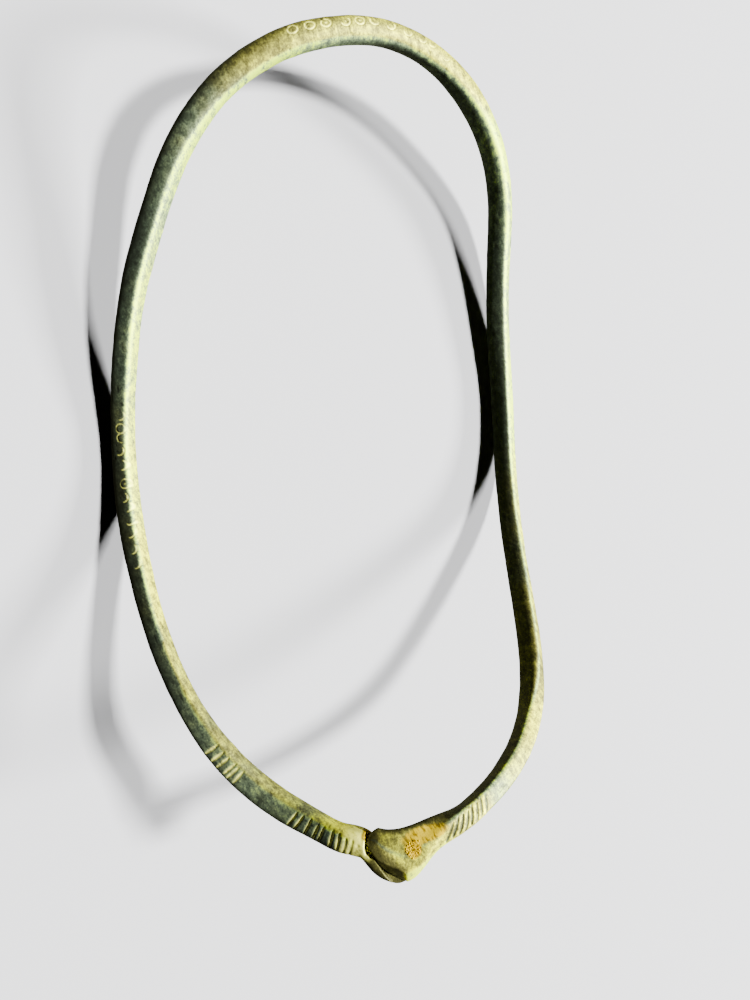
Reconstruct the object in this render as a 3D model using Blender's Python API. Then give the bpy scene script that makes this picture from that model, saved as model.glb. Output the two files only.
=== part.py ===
"""Bronze anklet, one rod bent into a long loop whose two ends lap over each other.

The rod is square with soft corners, and it turned a little as it was bent. Its upper face, the
decorated one, leans outwards along the two long sides and inwards round the back and beside the
plate. The right arm ends in a flat plate, shaped like a snake's head, and the plate lies over
the thinned end of the left arm. Rows of short cuts cross the decorated face near the ends. The
loop is sprung out of flat: it rests on the middle of its two long sides, with the clasp and the
back raised.
"""
import math

import bmesh
import bpy
import numpy as np
from mathutils import Matrix

MM = 0.001

# The loop, from the middle of the rod at the clasp to the middle of the rod at the back.
LOOP_LENGTH = 120.0 * MM

# The bends of the loop, each as (x, y, height) in thousandths of LOOP_LENGTH, from the tip of
# the plate up the right arm, round the back and down the left arm to where it meets the plate.
RIGHT_ARM = [
    (-56, -471, 278), (-38, -475, 287), (-21, -474, 294), (11, -468, 299), (50, -462, 296),
    (91, -451, 283), (147, -427, 258), (212, -378, 211), (250, -300, 155), (270, -217, 100),
    (286, -126, 50), (292, -27, 24), (290, 66, 18), (278, 177, 24), (268, 275, 39), (254, 361, 65),
]
BACK = [(211, 437, 100), (140, 496, 125), (48, 520, 143), (-48, 503, 152), (-128, 468, 142)]
LEFT_ARM = [
    (-190, 417, 117), (-232, 351, 92), (-261, 268, 68), (-283, 178, 49), (-293, 81, 31),
    (-294, -9, 18), (-288, -101, 25), (-274, -198, 56), (-247, -299, 104), (-203, -383, 150),
    (-142, -445, 189), (-94, -470, 237), (-75, -476, 257),
]

# The rod.
ROD_WIDTH = 3.5 * MM          # across the decorated face
ROD_THICKNESS = 3.6 * MM      # from the decorated face to the face under it
END_SQUARENESS = 4.8          # exponent of the section's outline: 2 is round, 10 is sharp
BACK_SQUARENESS = 2.5         # the rod is rounder at the back of the loop

# The rod was drawn out by hand: (share of its length, girth as a share of the sizes above).
GIRTH = [
    (0.00, 0.95), (0.030, 0.93), (0.05, 0.83), (0.10, 0.91), (0.15, 1.01), (0.22, 1.02),
    (0.27, 1.07), (0.33, 1.14), (0.40, 1.18), (0.44, 1.16), (0.485, 1.04), (0.50, 1.04),
    (0.555, 1.15), (0.60, 1.15), (0.66, 1.04), (0.70, 0.97), (0.76, 0.89), (0.79, 0.93),
    (0.84, 0.83), (0.87, 0.86), (0.91, 1.00), (0.935, 1.05), (0.968, 0.96), (1.00, 1.05),
]

# The rod turned as it was bent: (share of its length, degrees the decorated face leans out).
LEAN = [
    (0.00, 25), (0.018, 25), (0.045, -15), (0.10, -13), (0.145, 33), (0.20, 37), (0.28, 36),
    (0.345, 44), (0.375, 43), (0.425, 27), (0.49, -8), (0.57, -8), (0.64, 25), (0.69, 33),
    (0.78, 40), (0.82, 39), (0.90, 18), (0.96, -2), (1.00, 0),
]

# The plate that ends the right arm. It is beaten flat on the rod's inner upper edge, so it
# leans inwards. The decorated face runs on as a bevel along the plate's outer edge.
PLATE_LENGTH = 13.0 * MM
PLATE_WIDEST = 4.7 * MM       # from its tip to its outer corner
PLATE_WIDTH = 7.2 * MM
PLATE_TIP = 2.4 * MM          # width of its round tip
PLATE_BEVEL = 1.7 * MM        # measured across the plate
BEVEL_LEAN = math.radians(25)
PLATE_THICKNESS = 1.7 * MM
PLATE_SQUARENESS = 3.0
PLATE_FULLNESS = 1.4          # how far its outer edge bulges on the way to the neck
PLATE_LEAN = math.radians(-20)
TIP_THINNING = 4              # how late the plate thins towards its tip
TIP_THINNEST = 0.15           # square of the share of the thickness left at the tip

# The end of the left arm, which passes under the plate. A seat for the plate is cut in it, and a
# strip beside the seat stays nearly level with the plate. Its places are (share of the plate's
# length from the tip, share of the plate's width outwards from the rod's middle).
LAP_GAP = 0.25 * MM
LAP_SEAT = 0.3 * MM           # from the middle of the rod up to the seat
LAP_MARGIN = 0.35 * MM        # the seat reaches this far past the plate's outline
LAP_WALL = 0.5 * MM           # the seat's wall rises over this length
LAP_PLACES = [(0.0, 0.10), (0.17, 0.32), (0.32, 0.47), (0.42, 0.56)]
END_ROUNDING = 2.2 * MM
END_THINNEST = 0.1            # square of the share of the girth left at the very end

# Cuts across the decorated face. Each row is (arm, distance from that arm's end to the first
# cut).
CUT_WIDTH = 0.75 * MM
CUT_DEPTH = 0.35 * MM
CUT_PITCH = 1.15 * MM
CUT_ROWS = [("right", 13.0 * MM), ("left", 9.4 * MM), ("left", 28.0 * MM)]
CUTS_IN_ROWS = [7, 9, 6]

# Depth of the flat spots worn on the underside, where the loop rests.
REST_WEAR = 0.15 * MM

# How finely the mesh is made.
SIDES = 16                    # points round the section
STEP = 2.2 * MM               # between sections along the plain rod
FINE_STEP = 0.5 * MM          # between sections at the ends
TIP_STEP = 0.12 * MM          # from a tip to the first section
PATH_SAMPLES = 4000
FRAME_REACH = 0.2 * MM        # the rod's direction is read over this length either way

BRONZE_COLOUR = (0.19, 0.20, 0.09, 1.0)
BRONZE_METALLIC = 0.45
BRONZE_ROUGHNESS = 0.5


def smooth(value):
    """Ease from 0 to 1 as value goes from 0 to 1."""
    t = min(max(value, 0.0), 1.0)
    return t * t * (3 - 2 * t)


def mix(a, b, share):
    return a + (b - a) * share


class Path:
    """A natural cubic spline through points, read by distance along it."""

    def __init__(self, points):
        self.points = np.array(points)
        spans = np.linalg.norm(np.diff(self.points, axis=0), axis=1)
        self.knots = np.concatenate([[0], np.cumsum(spans)])
        slopes = np.diff(self.points, axis=0) / spans[:, None]
        matrix = np.eye(len(points))
        change = np.zeros((len(points), 3))
        for i in range(1, len(points) - 1):
            matrix[i, i - 1:i + 2] = spans[i - 1], 2 * (spans[i - 1] + spans[i]), spans[i]
            change[i] = 6 * (slopes[i] - slopes[i - 1])
        self.bends = np.linalg.solve(matrix, change)
        self.samples = np.linspace(0, self.knots[-1], PATH_SAMPLES)
        line = np.array([self.place(t) for t in self.samples])
        steps = np.linalg.norm(np.diff(line, axis=0), axis=1)
        self.runs = np.concatenate([[0], np.cumsum(steps)])
        self.length = self.runs[-1]

    def place(self, t):
        i = min(max(int(np.searchsorted(self.knots, t)) - 1, 0), len(self.knots) - 2)
        span = self.knots[i + 1] - self.knots[i]
        b = (t - self.knots[i]) / span
        a = 1 - b
        chord = a * self.points[i] + b * self.points[i + 1]
        bend = (a ** 3 - a) * self.bends[i] + (b ** 3 - b) * self.bends[i + 1]
        return chord + bend * span ** 2 / 6

    def at(self, run):
        return self.place(np.interp(run, self.runs, self.samples))

    def frame(self, run):
        """The middle of the rod, outwards, and upwards square to the rod."""
        behind = self.at(max(run - FRAME_REACH, 0))
        ahead = self.at(min(run + FRAME_REACH, self.length))
        along = (ahead - behind) / np.linalg.norm(ahead - behind)
        outward = np.cross(along, (0, 0, 1))
        outward /= np.linalg.norm(outward)
        return self.at(run), outward, np.cross(outward, along)


def leaning(frame, lean):
    """The two directions across the rod: outwards along a face that leans, and square to it."""
    _, outward, upward = frame
    across = outward * math.cos(lean) - upward * math.sin(lean)
    square = upward * math.cos(lean) + outward * math.sin(lean)
    return across, square


def outline(index, width, thickness, squareness):
    """A point of a soft-cornered section, counted from its outer edge towards its upper face."""
    angle = 2 * math.pi * index / SIDES
    power = 2 / squareness
    a = math.copysign(abs(math.cos(angle)) ** power, math.cos(angle))
    b = math.copysign(abs(math.sin(angle)) ** power, math.sin(angle))
    return a * width / 2, b * thickness / 2


def eased_between(stops, share):
    """The value at a share of the rod's length, eased between the stops of a list."""
    for (start, first), (stop, second) in zip(stops, stops[1:]):
        if share <= stop:
            return mix(first, second, smooth((share - start) / (stop - start)))
    return stops[-1][1]


def plate_width(run):
    """The width of the plate at a distance from its tip."""
    if run < PLATE_WIDEST:
        tip = PLATE_TIP * math.sqrt(1 - (1 - min(2 * run / PLATE_TIP, 1)) ** 2)
        return tip + (PLATE_WIDTH - PLATE_TIP) * run / PLATE_WIDEST
    neck = min((run - PLATE_WIDEST) / (PLATE_LENGTH - PLATE_WIDEST), 1)
    return mix(PLATE_WIDTH, ROD_WIDTH, neck ** PLATE_FULLNESS)


def taper(distance, length, lateness, thinnest):
    """The share of its size that an end keeps at a distance from its tip."""
    missing = (1 - min(distance / length, 1)) ** lateness
    return math.sqrt(max(1 - missing, thinnest))


def loop_path():
    """The middle of the rod, from the tip of the plate round to the end under it."""
    bends = [LOOP_LENGTH / 1000 * np.array(bend) for bend in RIGHT_ARM + BACK + LEFT_ARM]
    arm = Path(bends)
    drop = PLATE_THICKNESS / 2 + LAP_GAP + LAP_SEAT
    for share, out in LAP_PLACES:
        frame = arm.frame(share * PLATE_LENGTH)
        across, square = leaning(frame, PLATE_LEAN)
        bends.append(frame[0] + across * out * PLATE_WIDTH - square * drop)
    return Path(bends)


def cut_runs(path):
    """Where the cuts lie along the rod, as distances from the tip of the plate."""
    runs = []
    for (arm, first), count in zip(CUT_ROWS, CUTS_IN_ROWS):
        for i in range(count):
            distance = first + i * CUT_PITCH
            runs.append(distance if arm == "right" else path.length - distance)
    return sorted(runs)


def stations(path):
    """The distances along the rod at which it has a section, each with the depth of its cut."""
    near = np.append(np.arange(TIP_STEP, PLATE_LENGTH, FINE_STEP), PLATE_WIDEST)
    far = path.length - near
    gap = far.min() - PLATE_LENGTH
    plain = np.linspace(PLATE_LENGTH, far.min(), int(gap / STEP), endpoint=False)
    runs = np.concatenate([near, plain, far])
    cuts = cut_runs(path)
    cleared = [run for run in runs if min(abs(run - cut) for cut in cuts) > CUT_PITCH / 2]
    found = [(run, 0.0) for run in cleared]
    for cut in cuts:
        found += [(cut - CUT_WIDTH / 2, 0.0), (cut, CUT_DEPTH), (cut + CUT_WIDTH / 2, 0.0)]
    return sorted(found)


def seat_limit(path, place):
    """How high above its middle the left arm may reach at a place, beside or under the plate."""
    frame = path.frame(PLATE_WIDEST / 2)
    across, square = leaning(frame, PLATE_LEAN)
    run = PLATE_WIDEST / 2 + (place - frame[0]) @ np.cross(square, across)
    out = (place - frame[0]) @ across
    radius = PLATE_TIP / 2
    wide = plate_width(min(max(run, radius), PLATE_WIDEST))
    edge = min(wide, ROD_WIDTH) / 2
    aside = max(-edge - out, out - (wide - edge), -radius) + radius
    beyond = math.hypot(max(radius - run, 0), aside) - radius
    return mix(LAP_SEAT, ROD_THICKNESS, smooth((beyond - LAP_MARGIN) / LAP_WALL))


def section(path, run, cut, seat_normal):
    """The points of the rod's section at a distance from the tip of the plate."""
    frame = path.frame(run)
    share = run / path.length
    left = path.length - run
    size = eased_between(GIRTH, share) * taper(left, END_ROUNDING, 2, END_THINNEST)
    squareness = mix(END_SQUARENESS, BACK_SQUARENESS, math.sin(math.pi * share) ** 2)
    rod_across, rod_square = leaning(frame, math.radians(eased_between(LEAN, share)))

    flat = 1 - smooth((run - PLATE_WIDEST) / (PLATE_LENGTH - PLATE_WIDEST))
    wide = plate_width(run)
    thick = PLATE_THICKNESS * taper(run, PLATE_WIDEST, TIP_THINNING, TIP_THINNEST)
    plate_across, plate_square = leaning(frame, PLATE_LEAN)
    shift = plate_across * max(wide - ROD_WIDTH, 0) / 2
    ridge = wide / 2 - PLATE_BEVEL * smooth(run / PLATE_WIDEST)
    _, bevel_square = leaning(frame, BEVEL_LEAN)
    bevel = (plate_across * ridge + plate_square * thick / 2 + shift) @ bevel_square

    points = []
    for i in range(SIDES):
        a, b = outline(i, ROD_WIDTH * size, ROD_THICKNESS * size, squareness)
        b -= cut * max(math.sin(2 * math.pi * i / SIDES), 0) ** 2
        rod = rod_across * a + rod_square * b
        if left < run:
            limit = seat_limit(path, frame[0] + rod)
            rod = rod - seat_normal * max(rod @ seat_normal - limit, 0)
        a, b = outline(i - SIDES // 8, wide, thick, PLATE_SQUARENESS)
        plate = plate_across * a + plate_square * b + shift
        plate = plate - bevel_square * max(plate @ bevel_square - bevel, 0)
        points.append(frame[0] + mix(rod, plate, flat))
    return points


def loft(rings):
    """A closed mesh through rings of points, with its two ends filled."""
    bm = bmesh.new()
    loops = [[bm.verts.new(point) for point in ring] for ring in rings]
    for first, second in zip(loops, loops[1:]):
        for i in range(SIDES):
            j = (i + 1) % SIDES
            bm.faces.new((first[i], first[j], second[j], second[i]))
    bm.faces.new(loops[0])
    bm.faces.new(loops[-1])
    bmesh.ops.recalc_face_normals(bm, faces=bm.faces)
    return bm


def settle(bm):
    """Level the loop, centre it over the origin and wear it flat where it rests."""
    places = np.array([v.co for v in bm.verts])
    sides = [places[places[:, 0] < 0], places[places[:, 0] > 0]]
    left, right = [side[side[:, 2].argmin()] for side in sides]
    tilt = math.atan2(right[2] - left[2], right[0] - left[0])
    bmesh.ops.rotate(bm, verts=bm.verts, matrix=Matrix.Rotation(tilt, 3, "Y"))
    places = np.array([v.co for v in bm.verts])
    low, high = places.min(axis=0), places.max(axis=0)
    middle = (low + high) / 2
    bmesh.ops.translate(bm, verts=bm.verts, vec=(-middle[0], -middle[1], -low[2] - REST_WEAR))
    whole = bm.verts[:] + bm.edges[:] + bm.faces[:]
    cut = bmesh.ops.bisect_plane(bm, geom=whole, dist=1e-7, plane_co=(0, 0, 0),
                                 plane_no=(0, 0, 1), clear_inner=True)
    rim = [e for e in cut["geom_cut"] if isinstance(e, bmesh.types.BMEdge)]
    bmesh.ops.holes_fill(bm, edges=rim, sides=0)
    bmesh.ops.recalc_face_normals(bm, faces=bm.faces)


def bronze():
    material = bpy.data.materials.new("Bronze")
    material.use_nodes = True
    shader = material.node_tree.nodes["Principled BSDF"]
    shader.inputs["Base Color"].default_value = BRONZE_COLOUR
    shader.inputs["Metallic"].default_value = BRONZE_METALLIC
    shader.inputs["Roughness"].default_value = BRONZE_ROUGHNESS
    return material


def build_anklet(collection):
    path = loop_path()
    _, seat_normal = leaning(path.frame(PLATE_WIDEST / 2), PLATE_LEAN)
    bm = loft([section(path, run, cut, seat_normal) for run, cut in stations(path)])
    settle(bm)
    mesh = bpy.data.meshes.new("Anklet")
    bm.to_mesh(mesh)
    bm.free()
    mesh.shade_smooth()
    mesh.set_sharp_from_angle(angle=math.radians(40))
    anklet = bpy.data.objects.new("anklet_rod", mesh)
    anklet.data.materials.append(bronze())
    collection.objects.link(anklet)


def main():
    for item in list(bpy.data.objects):
        bpy.data.objects.remove(item, do_unlink=True)
    collection = bpy.data.collections.new("Bronze anklet")
    bpy.context.scene.collection.children.link(collection)
    build_anklet(collection)


main()
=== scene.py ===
import math

import bpy
import numpy as np
from mathutils import Matrix, Vector


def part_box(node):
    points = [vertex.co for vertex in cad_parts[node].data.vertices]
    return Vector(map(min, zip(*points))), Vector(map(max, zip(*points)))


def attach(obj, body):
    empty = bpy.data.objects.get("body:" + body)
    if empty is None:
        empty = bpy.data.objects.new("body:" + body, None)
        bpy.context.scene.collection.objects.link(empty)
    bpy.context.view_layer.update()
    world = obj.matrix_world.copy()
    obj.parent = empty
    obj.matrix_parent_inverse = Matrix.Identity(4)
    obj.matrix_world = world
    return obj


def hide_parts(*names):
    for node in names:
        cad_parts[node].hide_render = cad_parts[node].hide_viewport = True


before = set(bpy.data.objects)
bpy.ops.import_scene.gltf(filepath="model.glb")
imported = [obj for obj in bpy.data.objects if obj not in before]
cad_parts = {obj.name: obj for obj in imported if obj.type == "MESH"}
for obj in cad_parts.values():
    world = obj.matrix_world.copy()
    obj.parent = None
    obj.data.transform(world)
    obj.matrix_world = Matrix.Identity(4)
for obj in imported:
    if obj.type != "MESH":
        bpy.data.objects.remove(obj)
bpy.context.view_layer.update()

# The bent rod
# One bronze rod, hammered out to a square with soft corners and bent into a long loop that is
# sprung out of flat. Its one end is beaten out into a plate that lies over its other end.

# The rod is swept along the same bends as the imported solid, in thousandths of the loop's length,
# with more sections and points round, so that tool marks and wear are real shape.
MM = 0.001
LOOP_LENGTH = 120.0 * MM
RIGHT_ARM = [
    (-56, -471, 278), (-38, -475, 287), (-21, -474, 294), (11, -468, 299), (50, -462, 296),
    (91, -451, 283), (147, -427, 258), (212, -378, 211), (250, -300, 155), (270, -217, 100),
    (286, -126, 50), (292, -27, 24), (290, 66, 18), (278, 177, 24), (268, 275, 39), (254, 361, 65),
]
BACK = [(211, 437, 100), (140, 496, 125), (48, 520, 143), (-48, 503, 152), (-128, 468, 142)]
LEFT_ARM = [
    (-190, 417, 117), (-232, 351, 92), (-261, 268, 68), (-283, 178, 49), (-293, 81, 31),
    (-294, -9, 18), (-288, -101, 25), (-274, -198, 56), (-247, -299, 104), (-203, -383, 150),
    (-142, -445, 189), (-94, -470, 237), (-75, -476, 257),
]

# The girth and the lean of the face, in degrees, change along the rod. Each stop is (share of the
# rod's length, value). The plate's sizes follow, then those of the end that it lies over.
ROD_WIDTH = 3.5 * MM
ROD_THICKNESS = 3.6 * MM
END_SQUARENESS = 4.8
BACK_SQUARENESS = 2.5
GIRTH = [
    (0.00, 0.95), (0.030, 0.93), (0.05, 0.83), (0.10, 0.91), (0.15, 1.01), (0.22, 1.02),
    (0.27, 1.07), (0.33, 1.14), (0.40, 1.18), (0.44, 1.16), (0.485, 1.04), (0.50, 1.04),
    (0.555, 1.15), (0.60, 1.15), (0.66, 1.04), (0.70, 0.97), (0.76, 0.89), (0.79, 0.93),
    (0.84, 0.83), (0.87, 0.86), (0.91, 1.00), (0.935, 1.05), (0.968, 0.96), (1.00, 1.05),
]
LEAN = [
    (0.00, 25), (0.018, 25), (0.045, -15), (0.10, -13), (0.145, 33), (0.20, 37), (0.28, 36),
    (0.345, 44), (0.375, 43), (0.425, 27), (0.49, -8), (0.57, -8), (0.64, 25), (0.69, 33),
    (0.78, 40), (0.82, 39), (0.90, 18), (0.96, -2), (1.00, 0),
]
PLATE_LENGTH = 13.0 * MM
PLATE_WIDEST = 4.7 * MM
PLATE_WIDTH = 7.2 * MM
PLATE_TIP = 2.4 * MM
PLATE_BEVEL = 1.7 * MM
BEVEL_LEAN = math.radians(25)
PLATE_THICKNESS = 1.7 * MM
PLATE_SQUARENESS = 3.0
PLATE_FULLNESS = 1.4
PLATE_LEAN = math.radians(-20)
PLATE_HOLLOW = 0.3 * MM
HOLLOW_EDGE = (0.3, 0.8)
TIP_THINNING = 4
TIP_THINNEST = 0.15
LAP_GAP = 0.25 * MM
LAP_SEAT = 0.3 * MM
LAP_MARGIN = 0.22 * MM
LAP_WALL = 0.3 * MM
LAP_PLACES = [(0.0, 0.10), (0.17, 0.32), (0.32, 0.47), (0.42, 0.56)]
END_ROUNDING = 2.2 * MM
END_THINNEST = 0.1
REST_WEAR = 0.15 * MM

# How finely the rod is swept. FACE_CROWDING draws the points of a section together on the face.
FRAME_REACH = 0.2 * MM
PATH_SAMPLES = 4000
SPACING_SAMPLES = 40000
POINTS_ROUND = 68
FACE_CROWDING = 0.42
PLAIN_SPACING = 0.55 * MM
FINE_SPACING = 0.12 * MM
FINE_STRETCHES = [(0, 19), (160, 191), (251, 281), (305, 315), (321, 345)]
TIP_STEP = 0.12 * MM


def smooth(value):
    """Ease from 0 to 1 as value goes from 0 to 1."""
    t = np.clip(value, 0, 1)
    return t * t * (3 - 2 * t)


def mix(a, b, share):
    """The value a share of the way from a to b."""
    return a + (b - a) * share


def unit(vectors):
    """The same directions, one unit long."""
    return vectors / np.linalg.norm(vectors, axis=-1, keepdims=True)


class Path:
    """A natural cubic spline through points, read by distance along it."""

    def __init__(self, points):
        self.points = np.array(points)
        spans = np.linalg.norm(np.diff(self.points, axis=0), axis=1)
        self.knots = np.concatenate([[0], np.cumsum(spans)])
        slopes = np.diff(self.points, axis=0) / spans[:, None]
        matrix = np.eye(len(points))
        change = np.zeros((len(points), 3))
        for i in range(1, len(points) - 1):
            matrix[i, i - 1:i + 2] = spans[i - 1], 2 * (spans[i - 1] + spans[i]), spans[i]
            change[i] = 6 * (slopes[i] - slopes[i - 1])
        self.bends = np.linalg.solve(matrix, change)
        self.samples = np.linspace(0, self.knots[-1], PATH_SAMPLES)
        steps = np.linalg.norm(np.diff(self.place(self.samples), axis=0), axis=1)
        self.runs = np.concatenate([[0], np.cumsum(steps)])
        self.length = self.runs[-1]

    def place(self, t):
        """The places at distances t, measured straight from point to point."""
        i = np.clip(np.searchsorted(self.knots, t) - 1, 0, len(self.knots) - 2)
        span = (self.knots[i + 1] - self.knots[i])[:, None]
        b = (t - self.knots[i])[:, None] / span
        a = 1 - b
        chord = a * self.points[i] + b * self.points[i + 1]
        bend = (a ** 3 - a) * self.bends[i] + (b ** 3 - b) * self.bends[i + 1]
        return chord + bend * span ** 2 / 6

    def at(self, run):
        """The places at true distances along the curve."""
        return self.place(np.interp(run, self.runs, self.samples))

    def frame(self, run):
        """The middle of the rod, outwards, and upwards square to the rod, at each run."""
        ahead = self.at(np.minimum(run + FRAME_REACH, self.length))
        behind = self.at(np.maximum(run - FRAME_REACH, 0))
        along = unit(ahead - behind)
        outward = unit(np.cross(along, (0, 0, 1)))
        return self.at(run), outward, np.cross(outward, along)


def leaning(outward, upward, lean):
    """The two directions across the rod: outwards along a face that leans, and square to it."""
    across = outward * math.cos(lean) - upward * math.sin(lean)
    square = upward * math.cos(lean) + outward * math.sin(lean)
    return across, square


def taper(distance, length, lateness, thinnest):
    """The share of its size that an end keeps at a distance from its tip."""
    missing = (1 - np.minimum(distance / length, 1)) ** lateness
    return np.sqrt(np.maximum(1 - missing, thinnest))


def eased_between(stops, share):
    """The value at a share of the rod's length, eased between the stops of a list."""
    keys, values = np.array(stops).T
    i = np.clip(np.searchsorted(keys, share) - 1, 0, len(keys) - 2)
    return mix(values[i], values[i + 1], smooth((share - keys[i]) / (keys[i + 1] - keys[i])))


def plate_width(run):
    """The width of the plate at a distance from its tip."""
    round_tip = PLATE_TIP * np.sqrt(1 - (1 - np.clip(2 * run / PLATE_TIP, 0, 1)) ** 2)
    tip = round_tip + (PLATE_WIDTH - PLATE_TIP) * run / PLATE_WIDEST
    neck = np.clip((run - PLATE_WIDEST) / (PLATE_LENGTH - PLATE_WIDEST), 0, 1)
    return np.where(run < PLATE_WIDEST, tip, mix(PLATE_WIDTH, ROD_WIDTH, neck ** PLATE_FULLNESS))


def loop_path():
    """The middle of the rod, from the tip of the plate round to the end under it."""
    bends = [LOOP_LENGTH / 1000 * np.array(bend) for bend in RIGHT_ARM + BACK + LEFT_ARM]
    middle, outward, upward = Path(bends).frame(np.array([s for s, _ in LAP_PLACES]) * PLATE_LENGTH)
    across, square = leaning(outward, upward, PLATE_LEAN)
    drop = PLATE_THICKNESS / 2 + LAP_GAP + LAP_SEAT
    out = np.array([[o] for _, o in LAP_PLACES]) * PLATE_WIDTH
    bends.extend(middle + across * out - square * drop)
    return Path(bends)


path = loop_path()
ROD_LENGTH = path.length


def station_runs():
    """Where the rod has a section, closer together at its ends and where it is marked."""
    probe = np.linspace(TIP_STEP, ROD_LENGTH - TIP_STEP, SPACING_SAMPLES)
    spacing = np.full(len(probe), PLAIN_SPACING)
    for start, stop in FINE_STRETCHES:
        spacing[(probe > start * MM) & (probe < stop * MM)] = FINE_SPACING
    number = np.cumsum(1 / spacing) * (probe[1] - probe[0])
    return np.interp(np.linspace(number[0], number[-1], int(number[-1])), number, probe)


def new_piece(name, data, instead_of=None):
    """A new object in the scene, in the place of an older one if there is one."""
    if instead_of:
        bpy.data.objects.remove(instead_of)
    piece = bpy.data.objects.new(name, data)
    bpy.context.collection.objects.link(piece)
    return piece


def carrier(name, places, edges, values):
    """An object made of points that carry named numbers or vectors."""
    mesh = bpy.data.meshes.new(name)
    mesh.from_pydata(places, edges, [])
    for title, value in values.items():
        value = np.asarray(value, "f")
        form, key = ("FLOAT", "value") if value.ndim == 1 else ("FLOAT_VECTOR", "vector")
        mesh.attributes.new(title, form, "POINT").data.foreach_set(key, value.ravel())
    return new_piece(name, mesh)


def rod_line():
    """The middle of the rod as a line of points that carry the sizes of their sections."""
    run = station_runs()
    middle, outward, upward = path.frame(run)
    left = ROD_LENGTH - run
    wide = plate_width(run)
    return carrier("rod line", middle, [(i, i + 1) for i in range(len(run) - 1)], {
        "run": run,
        "girth": eased_between(GIRTH, run / ROD_LENGTH) * taper(left, END_ROUNDING, 2, END_THINNEST),
        "lean": np.radians(eased_between(LEAN, run / ROD_LENGTH)),
        "squareness": mix(END_SQUARENESS, BACK_SQUARENESS, np.sin(math.pi * run / ROD_LENGTH) ** 2),
        "flat": 1 - smooth((run - PLATE_WIDEST) / (PLATE_LENGTH - PLATE_WIDEST)),
        "plate_width": wide,
        "plate_thickness": PLATE_THICKNESS * taper(run, PLATE_WIDEST, TIP_THINNING, TIP_THINNEST),
        "plate_shift": np.maximum(wide - ROD_WIDTH, 0) / 2,
        "plate_ridge": wide / 2 - PLATE_BEVEL * smooth(run / PLATE_WIDEST),
        "lapped": left < run,
        "middle": middle,
        "outward": outward,
        "upward": upward,
    })


def add_node(tree, kind, inputs=(), **settings):
    """A new node with its settings made and its inputs set or joined."""
    node = tree.nodes.new(kind)
    for name, value in settings.items():
        setattr(node, name, value)
    for name, value in dict(inputs).items():
        join(tree, value, node.inputs[name])
    return node


def join(tree, value, socket):
    """Sets an input to a value, or joins it to the output that makes the value."""
    if isinstance(value, Flow):
        tree.links.new(value.socket, socket)
    elif isinstance(value, bpy.types.NodeSocket):
        tree.links.new(value, socket)
    else:
        socket.default_value = value


class Flow:
    """A number or a vector flowing through a node tree. Arithmetic on it adds Math nodes."""

    def __init__(self, socket):
        self.socket = socket
        self.tree = socket.id_data

    def math(self, operation, *others):
        """The result of a Math node fed with this and the others."""
        node = add_node(self.tree, "ShaderNodeMath", operation=operation)
        for socket, value in zip(node.inputs, (self, *others)):
            join(self.tree, value, socket)
        return Flow(node.outputs[0])

    def vector(self, operation, other, slot=1):
        """The result of a Vector Math node fed with this and another, at one of its inputs."""
        node = add_node(self.tree, "ShaderNodeVectorMath", operation=operation)
        join(self.tree, self, node.inputs[0])
        join(self.tree, other, node.inputs[slot])
        return Flow(node.outputs["Value" if operation == "DOT_PRODUCT" else "Vector"])

    def is_vector(self):
        return self.socket.type == "VECTOR"

    def __add__(self, other):
        return self.vector("ADD", other) if self.is_vector() else self.math("ADD", other)

    def __sub__(self, other):
        return self.vector("SUBTRACT", other) if self.is_vector() else self.math("SUBTRACT", other)

    def __mul__(self, other):
        return self.vector("SCALE", other, 3) if self.is_vector() else self.math("MULTIPLY", other)

    def __truediv__(self, other):
        return self.math("DIVIDE", other)

    def __rsub__(self, other):
        return self.math("MULTIPLY", -1).math("ADD", other)

    def __pow__(self, other):
        return self.math("POWER", other)

    def dot(self, other):
        return self.vector("DOT_PRODUCT", other)

    def eased(self, start, stop):
        """0 up to start, 1 from stop, and smooth between them."""
        node = add_node(self.tree, "ShaderNodeMapRange", {"Value": self, "From Min": start,
                                                          "From Max": stop},
                        interpolation_type="SMOOTHSTEP")
        return Flow(node.outputs["Result"])


def new_tree(name, inputs, output, form="Geometry", kind="GeometryNodeTree"):
    """A node group with one output, and with inputs given as socket type: their names."""
    tree = bpy.data.node_groups.new(name, kind)
    for input_form, titles in inputs.items():
        for title in titles:
            tree.interface.new_socket(title, in_out="INPUT", socket_type="NodeSocket" + input_form)
    tree.interface.new_socket(output, in_out="OUTPUT", socket_type="NodeSocket" + form)
    given = tree.nodes.new("NodeGroupInput")
    flows = {socket.name: Flow(socket) for socket in given.outputs}
    return tree, flows, tree.nodes.new("NodeGroupOutput").inputs[0]


def attribute(tree, name, form="FLOAT"):
    """The value of a named attribute in a geometry tree."""
    node = add_node(tree, "GeometryNodeInputNamedAttribute", {"Name": name}, data_type=form)
    return Flow(node.outputs["Attribute"])


def store(tree, geometry, name, value, form="FLOAT"):
    """The geometry with a named attribute written to its points."""
    node = add_node(tree, "GeometryNodeStoreNamedAttribute",
                    {"Geometry": geometry, "Name": name, "Value": value}, data_type=form)
    return Flow(node.outputs["Geometry"])


def use_group(tree, group, inputs):
    """What a group gives when it is placed in a tree."""
    node = tree.nodes.new(tree.bl_idname.replace("NodeTree", "NodeGroup"))
    node.node_tree = group
    for name, value in inputs.items():
        join(tree, value, node.inputs[name])
    return Flow(node.outputs[0])


def give_finished(tree, geometry, finish, result):
    """Ends a tree: its geometry made real, with its material."""
    plain = add_node(tree, "GeometryNodeRealizeInstances", {"Geometry": geometry})
    finished = add_node(tree, "GeometryNodeSetMaterial", {
        "Geometry": plain.outputs["Geometry"], "Material": finish})
    join(tree, finished.outputs["Geometry"], result)


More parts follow.
